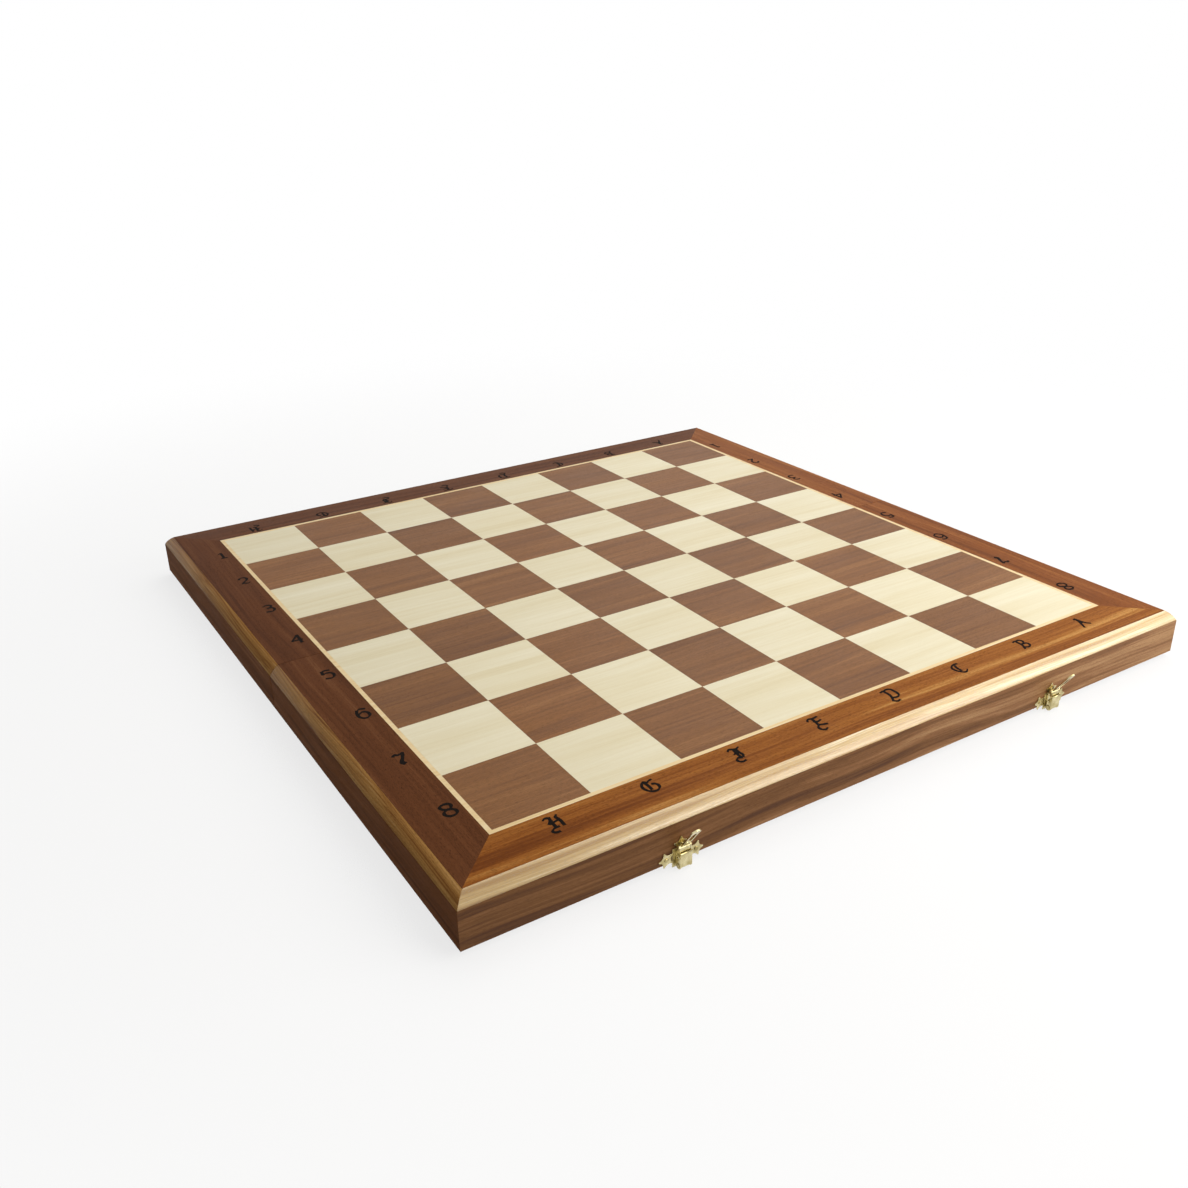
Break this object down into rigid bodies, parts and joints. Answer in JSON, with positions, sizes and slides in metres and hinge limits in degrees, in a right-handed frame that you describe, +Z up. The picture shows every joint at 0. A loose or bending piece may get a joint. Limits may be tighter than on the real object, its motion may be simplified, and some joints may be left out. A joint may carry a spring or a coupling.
{
  "type": "folding chess board",
  "caption": "Folding wooden chess board that closes into a case: felt-lined trays hinged at a spine, veneered playing squares, moulded edges and brass draw latches.",
  "frame": {"origin": "middle of the overall box of the open board, on the table under the felt pads", "axes": "+X along the letter edges towards the a file, +Y from the latch side to the keeper side, +Z up out of the playing surface"},
  "size_m": [0.5414, 0.559, 0.0335],
  "materials": {
    "dark_veneer": "satin lacquered mahogany veneer",
    "light_veneer": "satin lacquered maple veneer",
    "string_veneer": "satin lacquered light inlay",
    "border_veneer": "satin lacquered mahogany veneer",
    "edge_moulding": "satin lacquered ash",
    "stained_wall": "stained and lacquered beech",
    "ply_core": "raw birch plywood",
    "felt_lining": "green wool felt",
    "felt_pads": "brown felt",
    "brass": "polished, lightly tarnished"
  },
  "bodies": {
    "front_half": {"front_panel_core": "ply_core", "front_dark_squares": "dark_veneer", "front_light_squares": "light_veneer", "front_string_line": "string_veneer", "front_outer_border": "border_veneer", "front_left_border": "border_veneer", "front_right_border": "border_veneer", "front_outer_moulding": "edge_moulding", "front_left_moulding": "edge_moulding", "front_right_moulding": "edge_moulding", "front_outer_wall": "stained_wall", "front_left_wall": "stained_wall", "front_right_wall": "stained_wall", "front_spine_wall": "stained_wall", "front_felt_lining": "felt_lining", "front_felt_pads": "felt_pads", "front_hinge_screws": "brass", "left_hinge_front_leaf": "brass", "left_hinge_pin": "brass", "left_latch_plate": "brass", "left_latch_rivets": "brass", "right_hinge_front_leaf": "brass", "right_hinge_pin": "brass", "right_latch_plate": "brass", "right_latch_rivets": "brass", "latch_nails": "brass"},
    "rear_half": {"rear_panel_core": "ply_core", "rear_dark_squares": "dark_veneer", "rear_light_squares": "light_veneer", "rear_string_line": "string_veneer", "rear_outer_border": "border_veneer", "rear_left_border": "border_veneer", "rear_right_border": "border_veneer", "rear_outer_moulding": "edge_moulding", "rear_left_moulding": "edge_moulding", "rear_right_moulding": "edge_moulding", "rear_outer_wall": "stained_wall", "rear_left_wall": "stained_wall", "rear_right_wall": "stained_wall", "rear_spine_wall": "stained_wall", "rear_felt_lining": "felt_lining", "rear_felt_pads": "felt_pads", "rear_hinge_screws": "brass", "left_hinge_rear_leaf": "brass", "left_keeper": "brass", "right_hinge_rear_leaf": "brass", "right_keeper": "brass", "keeper_nails": "brass"},
    "left_lever": {"left_latch_lever": "brass", "left_tongue_pin": "brass"},
    "left_tongue": {"left_latch_tongue": "brass"},
    "right_lever": {"right_latch_lever": "brass", "right_tongue_pin": "brass"},
    "right_tongue": {"right_latch_tongue": "brass"}
  },
  "joints": [
    {"name": "fold", "type": "hinge", "parent": "front_half", "child": "rear_half", "pos_m": [0, 0.00573, 0.0035], "axis": [-1, 0, 0], "range_deg": [0, 179.2]},
    {"name": "left_lever_turn", "type": "hinge", "parent": "front_half", "child": "left_lever", "pos_m": [-0.144, -0.26807, 0.0025], "axis": [1, 0, 0], "range_deg": [0, 150]},
    {"name": "left_tongue_turn", "type": "hinge", "parent": "left_lever", "child": "left_tongue", "pos_m": [-0.144, -0.26807, 0.0133], "axis": [1, 0, 0], "range_deg": [-31, 15]},
    {"name": "right_lever_turn", "type": "hinge", "parent": "front_half", "child": "right_lever", "pos_m": [0.144, -0.26807, 0.0025], "axis": [1, 0, 0], "range_deg": [0, 150]},
    {"name": "right_tongue_turn", "type": "hinge", "parent": "right_lever", "child": "right_tongue", "pos_m": [0.144, -0.26807, 0.0133], "axis": [1, 0, 0], "range_deg": [-31, 15]}
  ]
}
